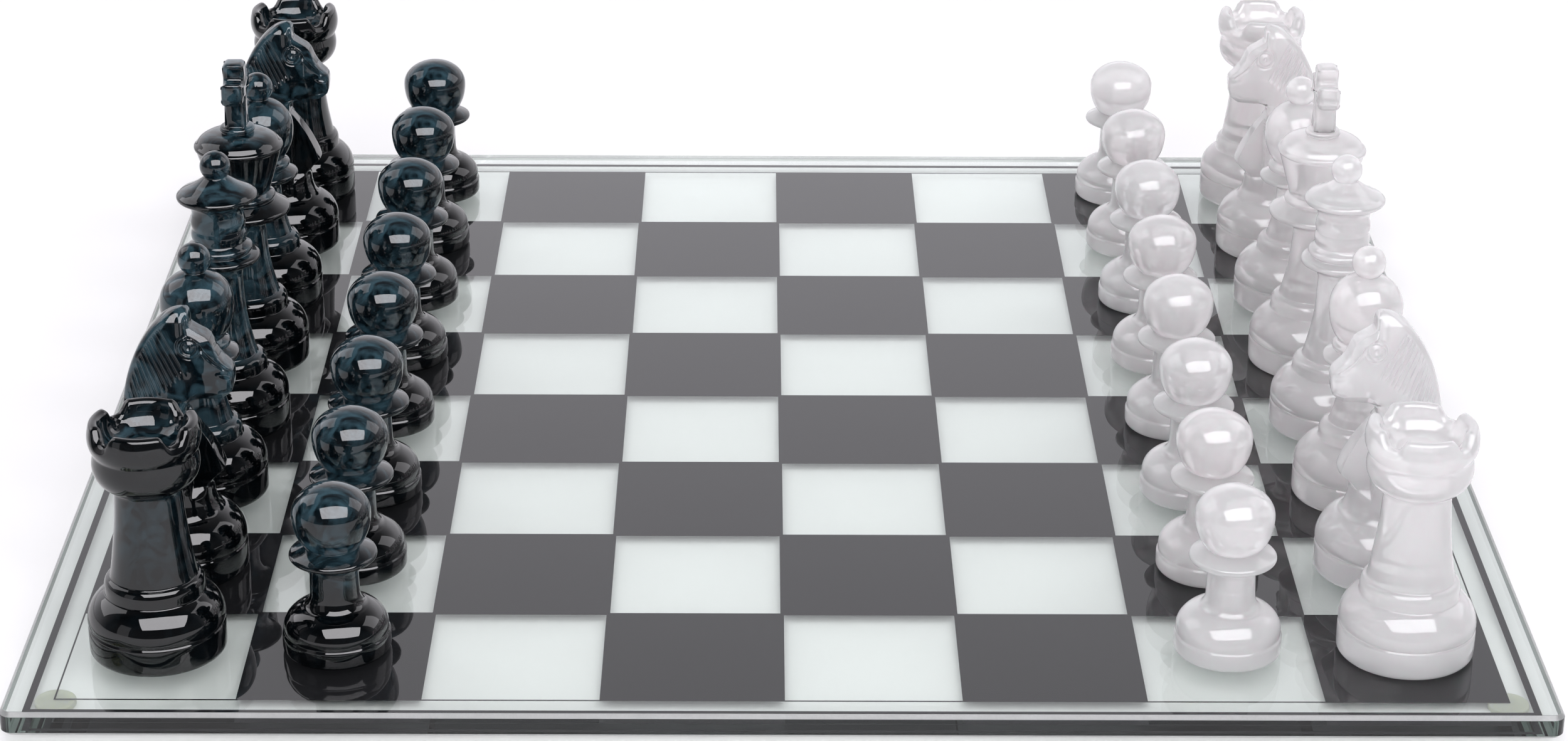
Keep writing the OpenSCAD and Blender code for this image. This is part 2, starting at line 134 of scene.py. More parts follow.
class QueenSizes(bpy.types.PropertyGroup):
    """A queen, from the ring up."""

    ring: length("Ring", "Radius of the ring under the column", 17.8)
    column: length("Column", "Radius of the column at its foot", 14)
    neck: length("Neck", "Radius of the column at its neck", 9.2)
    column_height: length("Column height", "Length of the column", 35.5)
    flange: length("Flange", "Radius of the flange over the column", 17.4)
    drum: length("Drum", "Radius of the drum", 12.2)
    drum_height: length("Drum height", "Height of the drum", 13)
    rim: length("Rim", "Radius of the rim", 17.6)
    lid_height: length("Lid height", "Height of the lid over the rim", 8.7)
    ball: length("Ball", "Radius of the ball", 6.7)


class BishopSizes(bpy.types.PropertyGroup):
    """A bishop, from the ring up."""

    ring: length("Ring", "Radius of the ring under the column", 16)
    column: length("Column", "Radius of the column at its foot", 12.3)
    neck: length("Neck", "Radius of the column at its neck", 8.4)
    column_height: length("Column height", "Length of the column", 23)
    flange: length("Flange", "Radius of the flange over the column", 16.8)
    bead: length("Bead", "Radius of the bead over the flange", 13.2)
    head: length("Head", "Radius of the head", 15.6)
    head_height: length("Head height", "Height of the head", 29)
    ball: length("Ball", "Radius of the ball", 7.1)


class RookSizes(bpy.types.PropertyGroup):
    """A rook, from the ring up."""

    ring: length("Ring", "Radius of the ring under the column", 19.7)
    column: length("Column", "Radius of the column at its foot", 17.2)
    neck: length("Neck", "Radius of the column at its neck", 13.2)
    column_height: length("Column height", "Length of the column", 35.5)
    bulge: length("Bulge", "Radius of the bulge under the crown", 20.8)
    crown: length("Crown", "Radius of the crown", 22)
    crown_height: length("Crown height", "Height of the crown over the bulge", 18)
    wall: length("Wall", "Thickness of the crown's wall", 5)
    scoop_depth: length("Scoop depth", "Depth of the scoops in the crown", 5)


class KnightSizes(bpy.types.PropertyGroup):
    """A knight, from the waist up."""

    waist: length("Waist", "Radius of the waist", 14.2)
    throat_height: length("Throat height", "Height of the throat over the waist", 31.6)
    head_height: length("Head height", "Height of the ears over the throat", 45.6)
    thickness: length("Thickness", "Thickness of the head and neck", 14)
    eye: length("Eye", "Radius of the ring round the eye", 3.8)
    mane_depth: length("Mane depth", "Depth of a mane groove", 0.8)
    mane_grooves: IntProperty(name="Mane grooves", description="Grooves on each side", default=12, min=4)


class PawnSizes(bpy.types.PropertyGroup):
    """A pawn, from the shoulder up."""

    shoulder_height: length("Shoulder height", "Height of the shoulder", 10.6)
    neck: length("Neck", "Radius of the neck", 9.5)
    neck_height: length("Neck height", "Length of the neck", 17)
    collar: length("Collar", "Radius of the collar", 17.3)
    collar_height: length("Collar height", "Thickness of the collar", 7)
    head_foot: length("Head foot", "Radius of the head at its foot", 10.2)
    head: length("Head", "Radius of the head", 15.6)
    head_height: length("Head height", "Height of the head", 26)


class CastSettings(bpy.types.PropertyGroup):
    """How the men are cast."""

    turns: IntProperty(name="Turns", description="Faces round a turned man", default=96, min=24)
    fillet: length("Fillet", "How far the cast corners are rounded", 0.45)
    wave: length("Wave", "How far the cast surface wanders from true", 0.22)
    wave_size: length("Wave size", "Distance from one wave to the next", 17)
    ripple: length("Ripple", "How deep the fine ripples of the mould are", 0.035)
    ripple_size: length("Ripple size", "Distance from one ripple to the next", 5)
    air_gap: length("Air gap", "Gap between a foot and the glass", 0.03)


class BoardSettings(bpy.types.PropertyGroup):
    """The glass board, its print and its pads."""

    bevel: length("Bevel", "Width of the ground bevel", 1.6)
    corner: length("Corner", "Radius of the glass corners", 5)
    arris: length("Arris", "Rounding of the bevel's edges", 0.12)
    square_overlap: length("Square overlap", "How much wider than the pitch a dark square is", 1.4)
    line: length("Line", "Width of the fine line", 0.6)
    band: length("Band", "Width of the border band", 2.8)
    print_bite: length("Print bite", "How far the print reaches into the glass", 0.04)


class FinishSettings(bpy.types.PropertyGroup):
    """Colours of the glass, print and pads."""

    # The dark glass's colour comes in two copies: a teal mottle where a glow is painted in thin glass, and a
    # near-black painted shade where the glass is thick. The clouds within each copy are the glass's own.
    dark_light: tint("Dark glass, clear", "Tint of the dark glass where it is clearest", (0.065, 0.14, 0.178))
    dark_deep: tint("Dark glass, smoky", "Tint of the dark glass where smoke gathers", (0.004, 0.011, 0.016))
    thick_painted_shade: tint("Thick dark glass", "Colour of the dark glass where it is thick", (0.002, 0.003, 0.004))
    thick_painted_shade_clouds: tint("Thick dark glass, clouds", "Colour of the clouds in it", (0.004, 0.007, 0.009))
    pale_light: tint("Pale glass", "Colour of the milky glass", (0.99, 0.968, 0.965))
    pale_blush: tint("Pale glass, blush", "Colour of its pink streaks", (0.99, 0.9, 0.915))
    pale_cool: tint("Pale glass, cool", "Colour of its lavender streaks", (0.945, 0.935, 0.955))
    sheet: tint("Sheet glass", "Tint of the board's glass", (0.965, 0.99, 0.98))
    under_sheet: tint("Under the sheet", "Tint of light that falls through the sheet", (0.79, 0.775, 0.76))
    grit_deep: tint("Ground glass", "Colour of the ground bevels", (0.62, 0.64, 0.63))
    grit_light: tint("Ground glass, grit", "Colour of the grit on them", (0.78, 0.80, 0.79))
    ink: tint("Ink", "Colour of the print", (0.006, 0.0055, 0.0075))
    pad: tint("Pad", "Colour of the clear pads", (0.80, 0.83, 0.66))


class StageSettings(bpy.types.PropertyGroup):
    """Camera, floor and lights."""

    camera_place: FloatVectorProperty(
        name="Camera place", description="Where the camera stands", default=(-0.0108, -1.5068, 0.7024),
        subtype="TRANSLATION", unit="LENGTH",
    )
    heading: FloatProperty(
        name="Heading", description="Turn of the view from +Y towards +X", default=0.00842, unit="ROTATION"
    )
    tilt: FloatProperty(
        name="Tilt", description="How far the view points down", default=0.42397, unit="ROTATION"
    )
    roll: FloatProperty(name="Roll", description="Roll of the camera", default=0.00658, unit="ROTATION")
    lens: FloatProperty(name="Lens", description="Focal length in millimetres", default=83.2)
    floor: tint("Floor", "Colour of the floor", (0.97, 0.97, 0.968))


GROUPS = {
    "chess_stand": StandSizes,
    "chess_king": KingSizes,
    "chess_queen": QueenSizes,
    "chess_bishop": BishopSizes,
    "chess_rook": RookSizes,
    "chess_knight": KnightSizes,
    "chess_pawn": PawnSizes,
    "chess_cast": CastSettings,
    "chess_board": BoardSettings,
    "chess_finish": FinishSettings,
    "chess_stage": StageSettings,
}


def in_mm(group):
    """A settings group with its lengths in millimetres, for the outlines below, and counts as they are."""
    keys = [prop.identifier for prop in group.bl_rna.properties if prop.type in {"FLOAT", "INT"}]
    values = {key: getattr(group, key) for key in keys}
    return SimpleNamespace(**{k: v if isinstance(v, int) else v / MM for k, v in values.items()})


# ---- Outlines, in millimetres: points are [radius, height] ----


def arc(centre, a, b, start, end, n=24):
    """An elliptical arc about centre with half-axes a and b, between two angles in degrees."""
    t = np.radians(np.linspace(start, end, n + 1))
    return np.stack([centre[0] + a * np.cos(t), centre[1] + b * np.sin(t)], 1)


def cove(p, q, n=16):
    """A quarter curve that leaves p along the height and reaches q along the radius."""
    t = np.linspace(0, math.pi / 2, n + 1)
    return np.stack([q[0] + (p[0] - q[0]) * np.cos(t), p[1] + (q[1] - p[1]) * np.sin(t)], 1)


def cove_in(p, q, n=16):
    """A quarter curve that leaves p along the radius and reaches q along the height."""
    t = np.linspace(0, math.pi / 2, n + 1)
    return np.stack([p[0] + (q[0] - p[0]) * np.sin(t), q[1] + (p[1] - q[1]) * np.cos(t)], 1)


def bowed(p, q, bow, n=16):
    """A stretch from p to q, hollowed by bow at its middle."""
    t = np.linspace(0, 1, n + 1)[:, None]
    return np.array(p) + (np.array(q) - np.array(p)) * t - np.hstack([bow * np.sin(math.pi * t), 0 * t])


def rim(radius, low, high):
    """A rounded rim between two heights."""
    b = (high - low) / 2
    return arc([radius - b, low + b], b, b, -75, 75, 16)


def foot(radius, height, stand):
    """A straight foot with a rounded lower edge, up to the groove."""
    edge = stand.foot_edge
    return np.vstack([
        [[0, 0]],
        arc([radius - edge, edge], edge, edge, -90, 0, 10),
        [[radius, height - stand.groove], [radius - stand.groove, height]],
    ])


def shoulder(radius, base, height, end_radius):
    """A rounded shoulder over the groove, drawn in to end_radius."""
    c = radius * 0.49
    end = math.degrees(math.acos((end_radius - c) / (radius - c)))
    return arc([c, base + 0.16 * height], radius - c, height, -9, end)


def stand_outline(radius, ring, column, stand):
    """Foot, shoulder and ring, with the height where the column starts."""
    curve = shoulder(radius, stand.foot_height, stand.shoulder_height, ring + 0.8)
    z = curve[-1][1]
    outline = np.vstack([
        foot(radius, stand.foot_height, stand),
        curve,
        [[ring, z + 0.4]],
        arc([column, z + stand.ring_height * 0.45], ring - column, stand.ring_height * 0.55, 0, 80, 12),
    ])
    return outline, z + stand.ring_height


def ball(centre_z, radius, foot_radius):
    """A ball from where it meets its foot to its top."""
    start = -math.degrees(math.acos(foot_radius / radius))
    return arc([0, centre_z], radius, radius, start, 90, 30)


def king_outline(radius, stand, king):
    lower, z = stand_outline(radius, king.ring, king.column, stand)
    neck = z + king.column_height
    flange = neck + 8
    bucket = flange + 11
    top = bucket + king.bucket_height
    button = top + 7
    return np.vstack([
        lower,
        bowed([king.column, z], [king.neck, neck], 1),
        cove([king.neck, neck], [king.flange - 1.5, flange]),
        rim(king.flange, flange, flange + 3.4),
        [[king.bucket_foot + 2.6, flange + 6.6]],
        rim(king.bucket_foot + 2.2, flange + 6.8, flange + 9.6),
        [[king.bucket_foot, bucket], [king.rim - 0.9, top - 1.4]],
        rim(king.rim, top - 1.4, top + 1.6),
        arc([king.button, top + 1.2], king.rim - king.button - 1.4, 5.4, 15, 84, 16),
        rim(king.button, button, button + 3),
        [[0, button + 3.5]],
    ]), button + 3.5


def queen_outline(radius, stand, queen):
    lower, z = stand_outline(radius, queen.ring, queen.column, stand)
    neck = z + queen.column_height
    flange = neck + 8.6
    drum = flange + 9.4
    top = drum + queen.drum_height + 8
    ball_foot = queen.ball * 0.72
    ball_z = top + queen.lid_height + math.sqrt(queen.ball**2 - ball_foot**2)
    return np.vstack([
        lower,
        bowed([queen.column, z], [queen.neck, neck], 1.4),
        cove([queen.neck, neck], [queen.flange - 1.5, flange]),
        rim(queen.flange, flange, flange + 3.2),
        [[queen.drum + 1.2, flange + 3.8]],
        rim(queen.drum + 2.2, flange + 4.2, flange + 7.8),
        [[queen.drum - 0.8, drum]],
        bowed([queen.drum - 0.6, drum + 0.5], [queen.drum - 0.6, drum + queen.drum_height * 0.42], -0.5, 8),
        bowed(
            [queen.drum - 0.9, drum + queen.drum_height * 0.46],
            [queen.drum - 0.6, drum + queen.drum_height * 0.85], -0.5, 8
        ),
        cove([queen.drum - 1, drum + queen.drum_height], [queen.rim - 1.4, top - 2]),
        rim(queen.rim, top - 1.8, top + 1.4),
        bowed([queen.rim - 1.6, top + 2], [ball_foot, top + queen.lid_height], 0.9),
        ball(ball_z, queen.ball, ball_foot),
    ])


def bishop_outline(radius, stand, bishop):
    lower, z = stand_outline(radius, bishop.ring, bishop.column, stand)
    neck = z + bishop.column_height
    flange = neck + 5.4
    head = flange + 10
    wide = head + bishop.head_height * 0.51
    top = head + bishop.head_height
    ball_foot = bishop.ball * 0.64
    ball_z = top + math.sqrt(bishop.ball**2 - ball_foot**2)
    return np.vstack([
        lower,
        bowed([bishop.column, z], [bishop.neck, neck], 0.9),
        cove([bishop.neck, neck], [bishop.flange - 1.4, flange]),
        rim(bishop.flange, flange, flange + 3),
        [[bishop.bead - 0.8, flange + 4.8]],
        rim(bishop.bead, flange + 5, flange + 8.6),
        [[bishop.head - 4.9, head]],
        arc([bishop.head - 9.6, wide], 9.6, wide - head + 2.2, -57, 0),
        arc([1, wide], bishop.head - 1, bishop.head_height * 0.5, 8, 72),
        ball(ball_z, bishop.ball, ball_foot),
    ])


def rook_outline(radius, stand, rook):
    lower, z = stand_outline(radius, rook.ring, rook.column, stand)
    neck = z + rook.column_height
    bulge = neck + 12.8
    top = bulge + rook.crown_height
    bowl = top - 11
    lip = rook.wall / 2
    return np.vstack([
        lower,
        bowed([rook.column, z], [rook.neck, neck], 0.7),
        cove([rook.neck, neck + 0.5], [rook.bulge - 4.6, neck + 3.6]),
        arc([rook.bulge - 7.5, bulge], 7.5, 9.6, -64, 16),
        arc([rook.crown - 6, top - 6.5], 6, 9, -48, 30),
        arc([rook.crown - lip - 0.6, top - lip], lip, lip, 30, 165),
        bowed([rook.crown - rook.wall - 0.8, top - lip - 1], [rook.crown - 9, bowl + 1.6], -0.6),
        [[rook.crown - 12, bowl], [0, bowl - 0.6]],
    ]), top


def pawn_outline(radius, stand, pawn):
    base = stand.pawn_foot_height
    neck = base + pawn.shoulder_height
    collar = neck + pawn.neck_height + 2
    head = collar + pawn.collar_height
    wide = head + pawn.head_height * 0.54
    return np.vstack([
        foot(radius, base, stand),
        arc([radius - 16, base + 1.6], 15.4, pawn.shoulder_height, -8, 59),
        cove_in([radius - 7.9, neck], [pawn.neck + 0.2, neck + 6.5]),
        cove([pawn.neck, collar - 3.5], [pawn.collar - 2.4, collar + 2]),
        rim(pawn.collar, collar + 2, collar + pawn.collar_height * 0.7),
        [[pawn.head_foot + 1.2, head], [pawn.head_foot, head + 0.4]],
        arc([pawn.head - 9.6, wide], 9.6, wide - head + 1.6, -58, 0),
        arc([0, wide], pawn.head, pawn.head_height * 0.46, 8, 90),
    ])


def along(points, step):
    """The same line with its points an even step apart."""
    points = np.array(points, float)
    gaps = np.linalg.norm(np.diff(points, axis=0), axis=1)
    points = points[np.append(True, gaps > 1e-6)]
    travel = np.append(0, np.cumsum(np.linalg.norm(np.diff(points, axis=0), axis=1)))
    stations = np.linspace(0, travel[-1], max(2, round(travel[-1] / step)) + 1)
    return np.stack([np.interp(stations, travel, points[:, k]) for k in range(points.shape[1])], 1)


def softened(points, reach, step=0.15, turn=5.0, stride=3.0):
    """The line as a casting leaves it: corners rounded over reach, then thinned where it runs straight."""
    fine = along(points, step)
    width = max(1, round(3 * reach / step))
    kernel = np.exp(-0.5 * (np.arange(-width, width + 1) * step / reach) ** 2)
    kernel /= kernel.sum()
    head = 2 * fine[0] - fine[width:0:-1]
    tail = fine[-2:-width - 2:-1] * [-1, 1]
    padded = np.vstack([head, fine, tail])
    smooth = np.stack([np.convolve(padded[:, k], kernel, "valid") for k in range(2)], 1)
    smooth[0], smooth[-1, 0] = fine[0], 0
    kept, turned, run = [0], 0.0, 0.0
    for i in range(1, len(smooth) - 1):
        before, after = smooth[i] - smooth[i - 1], smooth[i + 1] - smooth[i]
        cross = before[0] * after[1] - before[1] * after[0]
        turned += abs(math.degrees(math.atan2(cross, float(before @ after))))
        run += float(np.linalg.norm(before))
        if turned > turn or run > stride:
            kept.append(i)
            turned, run = 0.0, 0.0
    return smooth[kept + [len(smooth) - 1]]


# ---- Meshes ----


def loops_to_faces(loops, count):
    """Quads between closed loops of count points each, in order."""
    k = np.arange(count)
    nxt = (k + 1) % count
    rows = [np.stack([i * count + k, i * count + nxt, (i + 1) * count + nxt, (i + 1) * count + k], 1)
            for i in range(loops - 1)]
    return [tuple(map(int, q)) for q in np.vstack(rows)]


def closed(loops, first, last):
    """Points and faces of a stack of closed loops, with a point at each end."""
    count = len(loops[0])
    points = np.vstack(loops + [[first], [last]])
    faces = loops_to_faces(len(loops), count)
    a, b, base = len(points) - 2, len(points) - 1, (len(loops) - 1) * count
    faces += [(a, (k + 1) % count, k) for k in range(count)]
    faces += [(b, base + k, base + (k + 1) % count) for k in range(count)]
    return points, faces


def turned_loops(outline, turns):
    """A round loop for each point of an outline."""
    t = np.linspace(0, 2 * math.pi, turns, endpoint=False)
    return [np.stack([r * np.cos(t), r * np.sin(t), np.full(turns, z)], 1) for r, z in outline]


def turned_solid(outline, turns):
    """A lathe-turned solid from an outline that starts and ends on the axis."""
    return closed(turned_loops(outline[1:-1], turns), [0, 0, outline[0][1]], [0, 0, outline[-1][1]])


def new_object(name, points, faces, smooth=True):
    """A mesh object from points in millimetres."""
    mesh = bpy.data.meshes.new(name)
    mesh.from_pydata([tuple(p) for p in np.asarray(points) * MM], [], faces)
    mesh.polygons.foreach_set("use_smooth", [smooth] * len(mesh.polygons))
    mesh.validate()
    mesh.update()
    obj = bpy.data.objects.new(name, mesh)
    bpy.context.scene.collection.objects.link(obj)
    return obj


def mark(obj, name, values):
    """Stores a number at each point of the mesh, for the finish to read."""
    made = obj.data.attributes.new(name, "FLOAT", "POINT")
    made.data.foreach_set("value", np.asarray(values, np.float32))


def at_points(mesh, key):
    """The place or the normal of each point of a mesh."""
    values = np.zeros(len(mesh.vertices) * 3)
    mesh.vertices.foreach_get(key, values)
    return values.reshape(-1, 3)


def mark_glass(obj, seed, kind):
    """Marks where a glow is painted into the glass's colour, standing in for light through thin glass, and
    how far this pour is tinted.
    """
    x, y, z = at_points(obj.data, "co").T / MM
    if kind == "knight":
        painted_glow = KNIGHT_PAINTED_GLOW_SHARE * smoothstep(z, *KNIGHT_PAINTED_GLOW_HEIGHT)
    else:
        painted_glow = 1 - smoothstep(np.hypot(x, y), *PAINTED_GLOW_RADIUS)
        painted_glow *= smoothstep(z, *PAINTED_GLOW_HEIGHT)
        if kind == "rook":
            painted_glow *= ROOK_PAINTED_GLOW_SHARE + (1 - ROOK_PAINTED_GLOW_SHARE) * smoothstep(z, *CROWN_PAINTED_GLOW_HEIGHT)
    # Painted glow: 1 where the base colour is lifted to the glowing teal, 0 where it stays near-black painted
    # shade
    mark(obj, "painted_glow", painted_glow)
    mark(obj, "pour", np.full(len(x), 0.5 + 0.5 * math.sin(2.4 * seed)))


def cast_surface(obj, seed, cast):
    """Lets the surface wander a little, as a hand-poured casting does. The flat of the foot stays true."""
    mesh = obj.data
    co, normal = at_points(mesh, "co"), at_points(mesh, "normal")
    top = co[:, 2].max()
    shift = Vector((seed * 1.7, seed * 3.1, seed * 0.9))
    broad = np.array([noise.noise(Vector(p) / cast.wave_size + shift) for p in co])
    fine = np.array([noise.noise(Vector(p) / cast.ripple_size - shift) for p in co])
    amount = cast.wave * broad + cast.ripple * fine
    amount *= np.clip(co[:, 2] / (3 * MM), 0, 1)
    co += normal * amount[:, None]
    co[:, 2] = np.clip(co[:, 2], 0, top)
    mesh.vertices.foreach_set("co", co.ravel())
    mesh.update()


def knight_section(front, back, half, squareness, count):
    """A closed loop round the knight's neck or head at one height, starting at the front."""
    t = np.linspace(0, 2 * math.pi, 721)
    c, s = np.cos(t), np.sin(t)
    power = np.where(c > 0, 2 + squareness * 5.0, 2 + squareness * 1.6)
    x = (front + back) / 2 + (front - back) / 2 * np.sign(c) * np.abs(c) ** (2 / power)
    y = half * np.sign(s) * np.abs(s) ** (2 / power)
    travel = np.append(0, np.cumsum(np.hypot(np.diff(x), np.diff(y))))
    stations = np.linspace(0, travel[-1], count, endpoint=False)
    return np.stack([np.interp(stations, travel, x), np.interp(stations, travel, y)], 1)


def smoothstep(x, low, high):
    """An even rise from 0 at low to 1 at high."""
    t = np.clip((x - low) / (high - low), 0, 1)
    return t * t * (3 - 2 * t)


def bump(x, width):
    """A round rise to 1 where x is 0."""
    return np.exp(-0.5 * (x / width) ** 2)


def knight_front(knight):
    """The front of chest, throat, chin, nose and forehead: [forward, height over the throat]."""
    return np.vstack([
        [[knight.waist - 0.5, -knight.throat_height]],
        [[knight.waist + 1.2, -knight.throat_height + 2.2], [19.6, 7 - knight.throat_height]],
        bowed([19.4, 7.6 - knight.throat_height], [5.4, 0], -1.2),
        cove([5.6, 2.4], [10, 6.0]),
        [[20.0, 6.6], [22.6, 8.2], [24.2, 9.6], [24.9, 11.6], [25.3, 14.5], [25.4, 17.5]],
        [[25.2, 19.0], [24.2, 20.4], [21.4, 22.9], [19.8, 25.0], [18.4, 27.6], [17.4, 30.2]],
        [[16.4, 32.2], [14.8, 33.8], [11.9, 35.5], [9.1, 37.4], [8.6, 38.2]],
        [[8.4, knight.head_height - 2.2], [7.6, knight.head_height - 0.6], [6, knight.head_height]],
    ])


def crest(share, knight):
    """Points on the crest, from the nape to the ears, by their share of its height."""
    along_top = CREST_MIDDLE - CREST_REACH * (1 - share ** CREST_CURVE) ** (1 / CREST_CURVE)
    return np.hstack([along_top, share * knight.head_height])


def knight_back(knight):
    """The back of the neck and the crest: [forward, height over the throat]."""
    return np.vstack([
        bowed([-knight.waist + 0.5, -knight.throat_height], [-20.6, -4.6], -2.5),
        crest(np.linspace(0, 1, 60)[:, None], knight),
    ])


def knight_relief(x, z, knight):
    """How far the sides stand proud or are cut back at a point, in millimetres from the throat."""
    height = knight.head_height
    relief = np.zeros_like(x)
    reach = np.abs((x - CREST_MIDDLE) / CREST_REACH) ** CREST_CURVE + np.clip(z / height, 0, 1) ** CREST_CURVE
    under_crest = smoothstep(0.9 - reach, 0, 0.08)
    for i in range(knight.mane_grooves):
        lean = math.radians(LOCK_LEAN - LOCK_TURN * i)
        root_x, root_z = (root - step * i for root, step in zip(LOCK_ROOT, LOCK_STEP))
        across = (x - root_x) * math.cos(lean) + (z - root_z) * math.sin(lean)
        along_lock = smoothstep(z - root_z, 0, 2.5) * under_crest
        relief -= knight.mane_depth * bump(across, 0.36) * along_lock
        relief += 0.3 * bump(across - 0.85, 0.3) * along_lock
    eye = np.hypot(x - EYE[0], z - EYE[1])
    relief += 0.75 * bump(eye - knight.eye, 0.42)
    relief -= 0.45 * bump(eye - knight.eye * 1.25, 0.4)
    relief -= 0.6 * bump(eye - knight.eye * 0.78, 0.3)
    relief += 0.5 * bump(eye - knight.eye * 0.36, 0.36)
    relief -= 0.5 * bump(eye, 0.4)
    by_ear = smoothstep(z, 33, 35.5) * smoothstep(-z, -44, -41)
    relief += (0.5 * bump(x - EAR_RIDGE, 0.8) - 1.1 * bump(x - EAR_FOLD, 0.5)) * by_ear
    relief += 0.8 * bump(np.hypot((x - CHEEK[0]) / 1.2, z - CHEEK[1]), 3.8)
    ahead, over = x - NOSTRIL[0], z - NOSTRIL[1]
    relief -= 0.7 * bump(np.hypot(ahead / 2.2, over + 0.3 * ahead), 0.75)
    relief -= 0.4 * bump(z - LIPS[1] + 0.1 * (LIPS[0] - x), 0.35) * smoothstep(x, 18.5, 20.5)
    return relief


def knight_bridge(x, z, half, knight):
    """The raised band from forehead to nose: how far it stands proud, and how wide the head may be there."""
    front = np.interp(z, *reversed(knight_front(knight).T))
    inset = (front - x) * 0.72
    wide = 1.7 + 1.6 * smoothstep(z, 20, 33)
    here = smoothstep(z, 18.6, 20.2) * smoothstep(-z, -38.6, -37.2) * smoothstep(x, 7.4, 8.2)
    on_band = smoothstep(wide - inset, -0.15, 0.35)
    proud = 0.8 * on_band - 0.7 * bump(inset - wide - 0.55, 0.35)
    slope = half + 0.9 - 0.85 * np.clip(wide - inset, 0, None)
    limit = np.where(here > 0.02, np.maximum(slope, 0.22 * half), half + 3)
    return proud * here, limit


def knight_jaw(x, z, half):
    """How wide the head may be just over the edge of the jaw, which is cut back underneath."""
    over = z - np.interp(x, *zip(*JAW_EDGE))
    return np.where(x > 6.5, half * 0.5 + 0.9 * np.clip(over, 0, None), half + 3)


def knight_solid(radius, stand, knight, turns):
    """The whole knight as one stack of loops, round at the foot and flat-sided at the head."""
    count = int(3.4 * turns)
    end_radius = 19.4
    curve = shoulder(radius, stand.foot_height, stand.shoulder_height, end_radius)
    waist = stand.foot_height + stand.shoulder_height + 13.5
    lower = softened(np.vstack([
        foot(radius, stand.foot_height, stand),
        curve,
        cove_in([end_radius - 0.3, curve[-1][1] + 0.3], [knight.waist, waist]),
        [[0, waist + 20]],
    ]), 0.45)
    loops = turned_loops(lower[lower[:, 1] < waist - 0.6][1:], count)
    throat = waist + knight.throat_height
    front, back = knight_front(knight), knight_back(knight)
    heights = np.concatenate([
        np.arange(-knight.throat_height, 5.2, 0.45),
        np.arange(5.2, 9.6, 0.16),
        np.arange(9.6, knight.head_height - 1.5, 0.33),
        knight.head_height - np.array([1.5, 1.0, 0.6, 0.3, 0.12, 0.03]),
    ])
    for h in heights:
        over_waist = h + knight.throat_height
        square = float(smoothstep(over_waist, 1.5, 22))
        half = np.interp(
            over_waist, [0, 5, 12, 22, knight.throat_height, knight.throat_height + knight.head_height],
            [knight.waist, knight.waist - 1.2, 11.4, 9.0, knight.thickness / 2, knight.thickness / 2 - 1],
        )
        half *= math.sqrt(float(np.clip((knight.head_height - h) / 5, 0, 1)))
        loop = knight_section(
            np.interp(h, front[:, 1], front[:, 0]), np.interp(h, back[:, 1], back[:, 0]),
            half, square, count,
        )
        x, y = loop[:, 0], loop[:, 1]
        nose = 1 - 0.2 * smoothstep(x, 12, 26) * float(smoothstep(h, 4, 9))
        side = smoothstep(np.abs(y), 0.55 * half, 0.9 * half) * float(smoothstep(h, -14, -6))
        z = np.full_like(x, h)
        proud, band = knight_bridge(x, z, half, knight)
        wide = np.abs(y) * nose + side * (knight_relief(x, z, knight) + proud)
        y = np.sign(y) * np.minimum(np.minimum(wide, band), knight_jaw(x, z, half))
        loops.append(np.stack([x, y, np.full(count, throat + h)], 1))
    top = [loops[-1][:, 0].mean(), 0, throat + knight.head_height]
    return closed(loops, [0, 0, 0], top)


def cross_outline(king):
    """The cross's face: a foot, two arms and a head that flare a little, round at the corners."""
    w, h, m = king.cross_width / 2, king.cross_height, king.arm_height
    up = h - m
    half = np.vstack([
        [[0, -1.2], [5.6, -1.2], [4.9, 1.6], [4.3, m - 9.0], [4.2, m - 5.6]],
        cove([4.2, m - 5.4], [6.4, m - 3.9], 6),
        [[9.2, m - 4.6], [w - 0.4, m - 5.3], [w, m - 3.2], [w, m + 3.2], [w - 0.4, m + 5.3], [9.2, m + 4.6]],
        cove_in([6.4, m + 3.9], [4.2, m + 5.4], 6),
        [[4.4, m + 0.7 * up], [5.2, h - 0.5], [3.2, h], [0, h]],
    ])
    return softened(half, 0.7, 0.25, 8.0, 1.6)


def cross_solid(king, base):
    """The king's cross, standing across the board, with its edges rounded."""
    half = cross_outline(king)
    ring = np.vstack([half, half[-2:0:-1] * [-1, 1]])
    ahead, behind = np.roll(ring, -1, 0), np.roll(ring, 1, 0)
    run = ahead - behind
    out = np.stack([run[:, 1], -run[:, 0]], 1) / np.linalg.norm(run, axis=1)[:, None]
    edge, thick = 2.3, king.cross_thickness / 2
    loops = []
    for sign in (-1, 1):
        steps = np.linspace(0, math.pi / 2, 7)
        for a in (steps[::-1] if sign < 0 else steps):
            flat = ring - out * edge * (1 - math.cos(a))
            x = sign * (thick - edge * (1 - math.sin(a)))
            loops.append(np.stack([np.full(len(ring), x), flat[:, 0], flat[:, 1] + base], 1))
    middle = [0, 0, base + king.arm_height]
    return closed(loops, [-thick, 0, middle[2]], [thick, 0, middle[2]])


def scoop_crown(points, top, rook):
    """Presses four shallow scoops into the crown, on its diagonals."""
    angle = np.arctan2(points[:, 1], points[:, 0])
    radius = np.hypot(points[:, 0], points[:, 1])
    scoop = smoothstep(-np.cos(4 * angle), 0.3, 1.0)
    reach = smoothstep(points[:, 2], top - 10.5, top - 0.5)
    reach *= smoothstep(radius, rook.crown - 11, rook.crown - 7)
    points[:, 2] -= rook.scoop_depth * scoop * reach
    return points


def joined(body, part):
    """body and part in one mesh. The solver cuts them where they meet, but leaves the faces inside."""
    union = body.modifiers.new("cast_on", "BOOLEAN")
    union.operation = "UNION"
    union.solver = "FAST"
    union.object = part
    mesh = bpy.data.meshes.new_from_object(body.evaluated_get(bpy.context.evaluated_depsgraph_get()))
    body.modifiers.clear()
    body.data = mesh
    bpy.data.objects.remove(part)
    mesh.polygons.foreach_set("use_smooth", [True] * len(mesh.polygons))
    return body


# ---- Finishes ----


